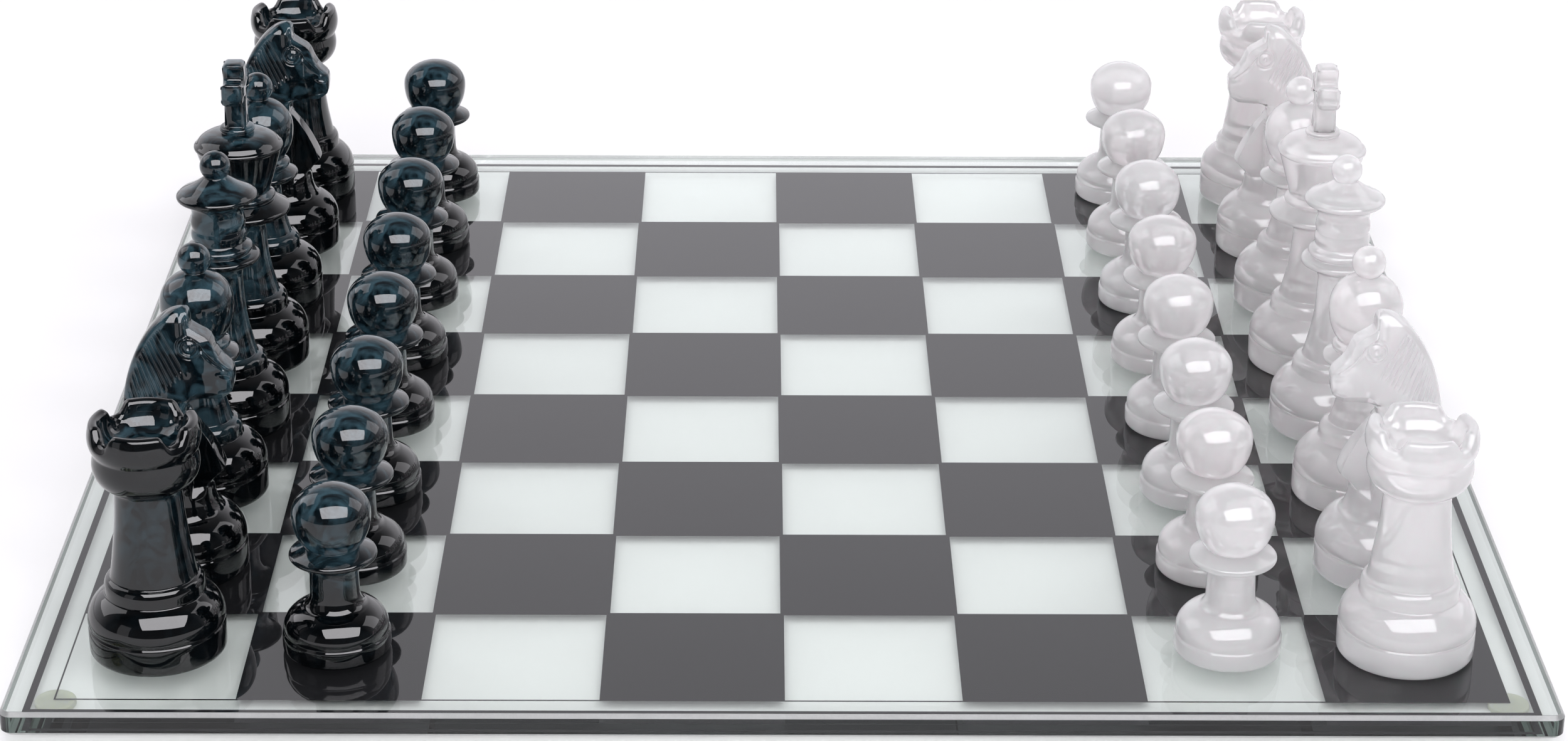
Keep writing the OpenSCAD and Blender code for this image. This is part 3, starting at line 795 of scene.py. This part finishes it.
def finish_tree(name):
    """A new node material, with its tree, its Principled node and its output node."""
    material = bpy.data.materials.new(name)
    material.use_nodes = True
    tree = material.node_tree
    tree.nodes.clear()
    output = tree.nodes.new("ShaderNodeOutputMaterial")
    shader = tree.nodes.new("ShaderNodeBsdfPrincipled")
    tree.links.new(shader.outputs["BSDF"], output.inputs["Surface"])
    return material, tree, shader, output


def plug(tree, made, inputs):
    """Sets a node's sockets: joins those that are given a socket, and gives the others their value."""
    for key, value in inputs.items():
        if isinstance(value, bpy.types.NodeSocket):
            tree.links.new(value, made.inputs[key])
        else:
            made.inputs[key].default_value = value


def node(tree, kind, inputs=None, **settings):
    """A new node with its settings and its sockets."""
    made = tree.nodes.new(kind)
    for key, value in settings.items():
        setattr(made, key, value)
    plug(tree, made, inputs or {})
    return made


def speckle(tree, size_mm, detail=3.0, warp=0.0):
    """Noise that repeats about every size_mm, in the piece's own space."""
    place = node(tree, "ShaderNodeTexCoord")
    return node(
        tree, "ShaderNodeTexNoise",
        {"Vector": place.outputs["Object"], "Scale": 1000.0 / size_mm, "Detail": detail, "Distortion": warp},
    ).outputs["Fac"]


def spread(tree, value, low, high, start, end):
    """value between low and high, stretched to run from start to end."""
    return node(
        tree, "ShaderNodeMapRange",
        {"Value": value, "From Min": low, "From Max": high, "To Min": start, "To Max": end},
    ).outputs["Result"]


def mixed(tree, share, first, second):
    """A mix of two colours, each a tint or a socket."""
    first, second = (c if isinstance(c, bpy.types.NodeSocket) else (*c, 1) for c in (first, second))
    mix = node(tree, "ShaderNodeMix", {"Factor": share, "A": first, "B": second}, data_type="RGBA")
    return mix.outputs["Result"]


def tinted(tree, share, colour, strength):
    """A colour that noise takes to strength times itself."""
    return mixed(tree, share, colour, tuple(strength * c for c in colour))


def let_lamps_through(tree, shader, output, colour):
    """Light that falls through the glass goes on to what is under it."""
    path = node(tree, "ShaderNodeLightPath")
    clear = node(tree, "ShaderNodeBsdfTransparent", {"Color": (*colour, 1)})
    mix = node(
        tree, "ShaderNodeMixShader",
        {0: path.outputs["Is Shadow Ray"], 1: shader.outputs["BSDF"], 2: clear.outputs["BSDF"]},
    )
    tree.links.new(mix.outputs["Shader"], output.inputs["Surface"])


def absorb(tree, output, colour, density):
    """Glass that takes light up along its depth."""
    volume = node(tree, "ShaderNodeVolumeAbsorption", {"Color": (*colour, 1), "Density": density})
    tree.links.new(volume.outputs["Volume"], output.inputs["Volume"])


def cast_bump(tree, shader, strength, distance_mm, size_mm):
    """The faint orange-peel of glass that was fire-polished in its mould."""
    relief = node(
        tree, "ShaderNodeBump",
        {"Height": speckle(tree, size_mm, 2.0), "Strength": strength, "Distance": distance_mm * MM},
    )
    tree.links.new(relief.outputs["Normal"], shader.inputs["Normal"])


def marked(tree, name):
    """The number that the mesh holds under that name."""
    return node(tree, "ShaderNodeAttribute", attribute_name=name).outputs["Fac"]


def cast_skin(tree, shader, smoothest):
    """What both cast glasses share: nearly smooth, and slightly uneven."""
    plug(tree, shader, {"Roughness": spread(tree, speckle(tree, 9, 2.0), 0.3, 0.7, smoothest, 0.04)})
    cast_bump(tree, shader, 0.12, 0.1, 6.0)


def dark_glass_finish(look):
    material, tree, shader, output = finish_tree("smoky_cast_glass")
    # Painted glow and shade: where mark_glass marks thin glass the base colour is the glowing teal mottle,
    # elsewhere it is near-black painted shade; the clouds are the glass's own
    cloud = spread(tree, speckle(tree, 13, 7.0, 1.8), 0.44, 0.62, 0.0, 1.0)
    glow_mottle = mixed(tree, cloud, look.dark_deep, look.dark_light)
    solid = mixed(tree, cloud, look.thick_painted_shade, look.thick_painted_shade_clouds)
    plug(tree, shader, {
        "Transmission Weight": 0.5,
        "IOR": GLASS_IOR,
        "Base Color": mixed(tree, marked(tree, "painted_glow"), solid, glow_mottle),
    })
    cast_skin(tree, shader, 0.01)
    absorb(tree, output, (0.02, 0.22, 0.30), 60.0)
    return material


def pale_glass_finish(look):
    material, tree, shader, _ = finish_tree("milky_cast_glass")
    place = node(tree, "ShaderNodeTexCoord")
    drawn = node(tree, "ShaderNodeMapping", {"Vector": place.outputs["Object"], "Scale": (1.0, 1.0, 0.3)})
    streak = node(
        tree, "ShaderNodeTexNoise",
        {"Vector": drawn.outputs["Vector"], "Scale": 75.0, "Detail": 4.0, "Distortion": 0.8},
    ).outputs["Fac"]
    veil = mixed(tree, spread(tree, streak, 0.38, 0.68, 0.0, 1.0), look.pale_light, look.pale_blush)
    cool = mixed(tree, streak, look.pale_light, look.pale_cool)
    plug(tree, shader, {
        "Transmission Weight": 0.45,
        "IOR": MILKY_IOR,
        "Subsurface Weight": 1.0,
        "Subsurface Radius": (1.0, 0.9, 0.94),
        "Subsurface Scale": 0.01,
        "Base Color": mixed(tree, marked(tree, "pour"), veil, cool),
    })
    cast_skin(tree, shader, 0.0)
    return material


def sheet_glass_finish(look):
    material, tree, shader, output = finish_tree("polished_sheet_glass")
    plug(tree, shader, {
        "Transmission Weight": 1.0,
        "IOR": GLASS_IOR,
        "Base Color": tinted(tree, speckle(tree, 90, 2.0), look.sheet, 0.985),
        "Roughness": spread(tree, speckle(tree, 40, 3.0), 0.4, 0.8, 0.0, 0.02),
    })
    absorb(tree, output, (0.0, 0.62, 0.42), 3.2)
    let_lamps_through(tree, shader, output, look.under_sheet)
    return material


def ground_glass_finish(look):
    material, tree, shader, _ = finish_tree("ground_glass_bevel")
    plug(tree, shader, {
        "Transmission Weight": 0.7,
        "IOR": GLASS_IOR,
        "Base Color": mixed(tree, speckle(tree, 0.8, 4.0), look.grit_deep, look.grit_light),
        "Roughness": spread(tree, speckle(tree, 1.5, 3.0), 0.3, 0.7, 0.28, 0.5),
    })
    cast_bump(tree, shader, 0.5, 0.05, 0.6)
    return material


def ink_finish(look):
    material, tree, shader, _ = finish_tree("screen_printed_ink")
    weave = speckle(tree, 1.2, 2.0)
    plug(tree, shader, {
        "Base Color": tinted(tree, weave, look.ink, 1.5),
        "Roughness": spread(tree, weave, 0.3, 0.7, 0.55, 0.7),
        "Specular IOR Level": 0.2,
    })
    return material


def pad_finish(look):
    material, tree, shader, _ = finish_tree("soft_clear_pad")
    cloud = speckle(tree, 5, 3.0)
    plug(tree, shader, {
        "Transmission Weight": 0.5,
        "Subsurface Weight": 1.0,
        "Subsurface Radius": (1.0, 0.95, 0.6),
        "Subsurface Scale": 0.004,
        "Base Color": tinted(tree, cloud, look.pad, 0.9),
        "Roughness": spread(tree, cloud, 0.3, 0.7, 0.3, 0.5),
    })
    return material


def floor_finish(colour):
    material, tree, shader, _ = finish_tree("pale_floor")
    plug(tree, shader, {
        "Base Color": tinted(tree, speckle(tree, 120, 4.0), colour, 0.985),
        "Roughness": 0.85,
        "Specular IOR Level": 0.2,
    })
    return material


def finish(name, maker):
    """The finish of that name, made the first time that it is asked for."""
    return bpy.data.materials.get(name) or maker(bpy.context.scene.chess_finish)


# ---- The men ----


def square_centre(name):
    """The middle of a man's square, on the glass. His own middle only tells which square it is."""
    print_low, print_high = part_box("dark_squares")
    pitch = (print_high.x - print_low.x) / SQUARES
    low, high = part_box(name)
    middle = [(math.floor((a + b) / 2 / pitch) + 0.5) * pitch for a, b in zip(low[:2], high[:2])]
    return Vector((*middle, low.z))


def men(kind):
    return sorted(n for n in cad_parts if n.split("_")[0] in SIDES and n.split("_")[1] == kind)


def stand_man(name, obj, seed):
    """Casts a finished shape in its side's glass and stands it on its square, facing the other side."""
    cast = bpy.context.scene.chess_cast
    cast_surface(obj, seed, cast)
    side, kind = name.split("_")[:2]
    mark_glass(obj, seed, kind)
    if side == "dark":
        glass = finish("smoky_cast_glass", dark_glass_finish)
    else:
        glass = finish("milky_cast_glass", pale_glass_finish)
    obj.data.materials.append(glass)
    turn = Matrix.Rotation(0 if side == "dark" else math.pi, 4, "Z")
    place = square_centre(name)
    place.z += cast.air_gap
    low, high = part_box(name)
    tall = max(v.co.z for v in obj.data.vertices)
    fit = (high.z - low.z - cast.air_gap) / tall
    obj.matrix_world = Matrix.Translation(place) @ turn @ Matrix.Diagonal((1, 1, fit, 1))
    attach(obj, name)
    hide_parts(name)


def foot_radius(name):
    """Radius of a man's foot, from the width of his solid along the file."""
    low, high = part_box(name)
    return (high.y - low.y) / 2 / MM


def turned_body(name, outline, press=None):
    """A turned man before he is stood on his square. press moves his points first."""
    cast = bpy.context.scene.chess_cast
    points, faces = turned_solid(softened(outline, cast.fillet / MM), cast.turns)
    return new_object("cast_" + name, press(points) if press else points, faces)


class ManOperator:
    """What every operator for a kind of man does."""

    bl_options = {"REGISTER", "UNDO"}

    def body(self, name, radius, stand, sizes):
        return turned_body(name, self.outline(radius, stand, sizes))

    def execute(self, context):
        stand = in_mm(context.scene.chess_stand)
        sizes = in_mm(getattr(context.scene, "chess_" + self.kind))
        names = men(self.kind)
        if not names:
            raise RuntimeError("the frame holds no " + self.kind)
        for i, name in enumerate(names):
            stand_man(name, self.body(name, foot_radius(name), stand, sizes), self.first_seed + i)
        return {"FINISHED"}


class CHESS_OT_kings(ManOperator, bpy.types.Operator):
    """Cast both kings, each with a cross on its lid"""

    bl_idname = "glass_chess.kings"
    bl_label = "Kings"
    kind = "king"
    first_seed = 11

    def body(self, name, radius, stand, king):
        outline, top = king_outline(radius, stand, king)
        return joined(turned_body(name, outline), new_object("cross", *cross_solid(king, top)))


class CHESS_OT_queens(ManOperator, bpy.types.Operator):
    """Cast both queens"""

    bl_idname = "glass_chess.queens"
    bl_label = "Queens"
    kind = "queen"
    first_seed = 21
    outline = staticmethod(queen_outline)


class CHESS_OT_bishops(ManOperator, bpy.types.Operator):
    """Cast the four bishops"""

    bl_idname = "glass_chess.bishops"
    bl_label = "Bishops"
    kind = "bishop"
    first_seed = 31
    outline = staticmethod(bishop_outline)


class CHESS_OT_rooks(ManOperator, bpy.types.Operator):
    """Cast the four rooks, with scooped crowns"""

    bl_idname = "glass_chess.rooks"
    bl_label = "Rooks"
    kind = "rook"
    first_seed = 41

    def body(self, name, radius, stand, rook):
        outline, top = rook_outline(radius, stand, rook)
        return turned_body(name, outline, lambda points: scoop_crown(points, top, rook))


class CHESS_OT_knights(ManOperator, bpy.types.Operator):
    """Cast the four knights, with manes and eyes"""

    bl_idname = "glass_chess.knights"
    bl_label = "Knights"
    kind = "knight"
    first_seed = 51

    def body(self, name, radius, stand, knight):
        turns = bpy.context.scene.chess_cast.turns
        return new_object("cast_" + name, *knight_solid(radius, stand, knight, turns))


class CHESS_OT_pawns(ManOperator, bpy.types.Operator):
    """Cast the sixteen pawns"""

    bl_idname = "glass_chess.pawns"
    bl_label = "Pawns"
    kind = "pawn"
    first_seed = 61
    outline = staticmethod(pawn_outline)


# ---- The board ----


def rounded_square(half, radius, inset, n=8):
    """A square's outline with round corners, drawn in by inset."""
    r = max(radius - inset, 0.2)
    c = half - inset - r
    return np.vstack([
        arc([sx * c, sy * c], r, r, start, start + 90, n)
        for sx, sy, start in ((1, 1, 0), (-1, 1, 90), (-1, -1, 180), (1, -1, 270))
    ])


class CHESS_OT_sheet(bpy.types.Operator):
    """Cut the glass sheet, grind its bevels and round their edges"""

    bl_idname = "glass_chess.sheet"
    bl_label = "Glass sheet"
    bl_options = {"REGISTER", "UNDO"}

    def execute(self, context):
        board = in_mm(context.scene.chess_board)
        low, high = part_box("board_glass")
        half = (high.x - low.x) / 2 / MM
        bottom, top = low.z / MM, high.z / MM
        levels = [
            (board.bevel, bottom), (0, bottom + board.bevel), (0, top - board.bevel), (board.bevel, top)
        ]
        loops = []
        for inset, z in levels:
            ring = rounded_square(half, board.corner, inset)
            loops.append(np.hstack([ring, np.full((len(ring), 1), z)]))
        count = len(loops[0])
        faces = loops_to_faces(len(loops), count)
        faces.append(tuple(range(count - 1, -1, -1)))
        faces.append(tuple(range(3 * count, 4 * count)))
        obj = new_object("glass_sheet", np.vstack(loops), faces, smooth=False)
        obj.data.materials.append(finish("polished_sheet_glass", sheet_glass_finish))
        obj.data.materials.append(finish("ground_glass_bevel", ground_glass_finish))
        for i in list(range(count)) + list(range(2 * count, 3 * count)):
            obj.data.polygons[i].material_index = 1
        arris = obj.modifiers.new("arris", "BEVEL")
        arris.width = context.scene.chess_board.arris
        arris.segments = 2
        arris.limit_method = "ANGLE"
        arris.angle_limit = math.radians(28)
        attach(obj, "board")
        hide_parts("board_glass")
        return {"FINISHED"}


def slab(name, xs, ys, filled, low, high):
    """A flat printed figure: the cells of a grid that are filled, as one closed solid."""
    index, points, faces = {}, [], []

    def corner(i, j, top):
        key = (i, j, top)
        if key not in index:
            index[key] = len(points)
            points.append((xs[i], ys[j], high if top else low))
        return index[key]

    def is_filled(i, j):
        return 0 <= i < len(xs) - 1 and 0 <= j < len(ys) - 1 and filled(i, j)

    for i in range(len(xs) - 1):
        for j in range(len(ys) - 1):
            if not is_filled(i, j):
                continue
            ring = [(i, j), (i + 1, j), (i + 1, j + 1), (i, j + 1)]
            faces.append(tuple(corner(a, b, True) for a, b in ring))
            faces.append(tuple(corner(a, b, False) for a, b in reversed(ring)))
            for k, (di, dj) in enumerate(((0, -1), (1, 0), (0, 1), (-1, 0))):
                if not is_filled(i + di, j + dj):
                    a, b = ring[k], ring[(k + 1) % 4]
                    faces.append((corner(*a, False), corner(*b, False), corner(*b, True), corner(*a, True)))
    return new_object(name, points, faces, smooth=False)


class CHESS_OT_print(bpy.types.Operator):
    """Print the dark squares, the fine line and the band on the underside"""

    bl_idname = "glass_chess.print"
    bl_label = "Print"
    bl_options = {"REGISTER", "UNDO"}

    def execute(self, context):
        board = in_mm(context.scene.chess_board)
        glass_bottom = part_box("board_glass")[0].z / MM

        def figure(name, source, xs, filled):
            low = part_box(source)[0].z / MM
            obj = slab(name, xs, xs, filled, low, glass_bottom + board.print_bite)
            obj.data.materials.append(finish("screen_printed_ink", ink_finish))
            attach(obj, "board")
            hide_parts(source)

        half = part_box("dark_squares")[1].x / MM
        pitch = 2 * half / SQUARES
        lap = board.square_overlap / 2
        edges = [-half]
        for i in range(1, SQUARES):
            edges += [-half + i * pitch - lap, -half + i * pitch + lap]
        edges.append(half)

        def in_dark_square(i, j):
            # Odd cells are the laps between squares, which belong to both neighbours
            columns = {i // 2, (i + 1) // 2}
            rows = {j // 2, (j + 1) // 2}
            return any((c + r) % 2 == 1 for c in columns for r in rows)

        figure("printed_squares", "dark_squares", edges, in_dark_square)
        for name, source, width in (
            ("printed_line", "border_line", board.line), ("printed_band", "border_band", board.band)
        ):
            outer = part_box(source)[1].x / MM
            figure(name, source, [-outer, width - outer, outer - width, outer], lambda i, j: (i, j) != (1, 1))
        return {"FINISHED"}


class CHESS_OT_pads(bpy.types.Operator):
    """Mould the four clear pads under the corners of the squares"""

    bl_idname = "glass_chess.pads"
    bl_label = "Pads"
    bl_options = {"REGISTER", "UNDO"}

    def execute(self, context):
        print_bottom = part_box("dark_squares")[0].z / MM
        for name in sorted(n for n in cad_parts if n.startswith("pad_")):
            low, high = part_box(name)
            radius, height = (high.x - low.x) / 2 / MM, print_bottom - low.z / MM - 0.02
            outline = softened(np.vstack([
                [[0, 0]],
                arc([radius - 1, 1], 1, 1, -90, 0, 8),
                [[radius, height - 0.4], [radius - 0.4, height], [0, height]],
            ]), 0.15)
            points, faces = turned_solid(outline, 64)
            obj = new_object("clear_" + name, points, faces)
            obj.data.materials.append(finish("soft_clear_pad", pad_finish))
            obj.location = ((low.x + high.x) / 2, (low.y + high.y) / 2, low.z)
            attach(obj, "board")
            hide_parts(name)
        return {"FINISHED"}


# ---- The stage ----


def lamp(name, place, width, height, brightness, passed_by):
    """A soft panel of light aimed at the board, by how bright its face looks."""
    light = bpy.data.lights.new(name, "AREA")
    light.shape = "RECTANGLE"
    light.size = width
    light.size_y = height
    light.energy = brightness * math.pi * width * height
    light.color = LAMP_TINT
    obj = bpy.data.objects.new(name, light)
    bpy.context.scene.collection.objects.link(obj)
    back = (Vector(place) - Vector(HEART)).normalized()
    obj.matrix_world = Matrix.Translation(place) @ back.to_track_quat("Z", "Y").to_matrix().to_4x4()
    for ray in passed_by:
        setattr(obj, "visible_" + ray, False)


def studio_world():
    """A studio with a pale sweep behind the board and darkness behind the camera."""
    world = bpy.data.worlds.new("studio")
    world.use_nodes = True
    tree = world.node_tree
    tree.nodes.clear()
    output = tree.nodes.new("ShaderNodeOutputWorld")
    place = node(tree, "ShaderNodeTexCoord")
    parts = node(tree, "ShaderNodeSeparateXYZ", {"Vector": place.outputs["Generated"]})
    behind = spread(tree, parts.outputs["Y"], -0.15, 0.75, 0.10, 1.4)
    low = spread(tree, parts.outputs["Z"], 0.35, 0.75, 1.0, 0.22)
    glow = node(tree, "ShaderNodeMath", {0: behind, 1: low}, operation="MULTIPLY").outputs["Value"]
    lit = node(tree, "ShaderNodeBackground", {"Color": (*STUDIO_TINT, 1), "Strength": glow})
    seen = node(tree, "ShaderNodeBackground", {"Color": (1, 1, 1, 1), "Strength": 1.0})
    path = node(tree, "ShaderNodeLightPath")
    mix = node(
        tree, "ShaderNodeMixShader",
        {0: path.outputs["Is Camera Ray"], 1: lit.outputs["Background"], 2: seen.outputs["Background"]},
    )
    tree.links.new(mix.outputs["Shader"], output.inputs["Surface"])
    bpy.context.scene.world = world


class CHESS_OT_stage(bpy.types.Operator):
    """Set up the camera, the floor and the lights"""

    bl_idname = "glass_chess.stage"
    bl_label = "Stage"
    bl_options = {"REGISTER", "UNDO"}

    def execute(self, context):
        scene, stage = context.scene, context.scene.chess_stage
        scene.view_settings.view_transform = "Standard"
        camera = bpy.data.cameras.new("camera")
        camera.lens = stage.lens
        camera.sensor_width = 36
        obj = bpy.data.objects.new("camera", camera)
        scene.collection.objects.link(obj)
        ahead = Vector((
            math.sin(stage.heading) * math.cos(stage.tilt),
            math.cos(stage.heading) * math.cos(stage.tilt),
            -math.sin(stage.tilt),
        ))
        right = ahead.cross(Vector((0, 0, 1))).normalized()
        up = right.cross(ahead)
        across = right * math.cos(stage.roll) + up * math.sin(stage.roll)
        axes = Matrix((across, ahead.cross(across) * -1, ahead * -1)).transposed()
        obj.matrix_world = Matrix.Translation(stage.camera_place) @ axes.to_4x4()
        scene.camera = obj

        far = FLOOR_REACH
        floor = bpy.data.meshes.new("floor")
        corners = [(-far, -far, 0), (far, -far, 0), (far, far, 0), (-far, far, 0)]
        floor.from_pydata(corners, [], [(0, 1, 2, 3)])
        floor.materials.append(floor_finish(stage.floor))
        ground = bpy.data.objects.new("floor", floor)
        scene.collection.objects.link(ground)

        for row in LAMPS:
            lamp(*row)
        studio_world()
        return {"FINISHED"}


# ---- Panel and registration ----


class CHESS_PT_sidebar(bpy.types.Panel):
    """Lists the pieces of the chess set"""

    bl_idname = "CHESS_PT_sidebar"
    bl_label = "Cast Glass Chess Set"
    bl_space_type = "VIEW_3D"
    bl_region_type = "UI"
    bl_category = "Glass Chess"

    def draw(self, context):
        for operator in OPERATORS:
            self.layout.operator(operator.bl_idname)
        for group in GROUPS:
            box = self.layout.box()
            box.label(text=group.replace("chess_", "").capitalize())
            settings = getattr(context.scene, group)
            for key in type(settings).__annotations__:
                box.prop(settings, key)


OPERATORS = (
    CHESS_OT_stage,
    CHESS_OT_sheet,
    CHESS_OT_print,
    CHESS_OT_pads,
    CHESS_OT_pawns,
    CHESS_OT_rooks,
    CHESS_OT_knights,
    CHESS_OT_bishops,
    CHESS_OT_queens,
    CHESS_OT_kings,
)
CLASSES = (*GROUPS.values(), *OPERATORS, CHESS_PT_sidebar)


def register():
    for cls in CLASSES:
        bpy.utils.register_class(cls)
    for key, group in GROUPS.items():
        setattr(bpy.types.Scene, key, PointerProperty(type=group))


def unregister():
    for key in GROUPS:
        delattr(bpy.types.Scene, key)
    for cls in reversed(CLASSES):
        bpy.utils.unregister_class(cls)


def main():
    register()
    for operator in OPERATORS:
        group, name = operator.bl_idname.split(".")
        getattr(getattr(bpy.ops, group), name)()
    bpy.context.view_layer.update()


if __name__ == "__main__":
    main()
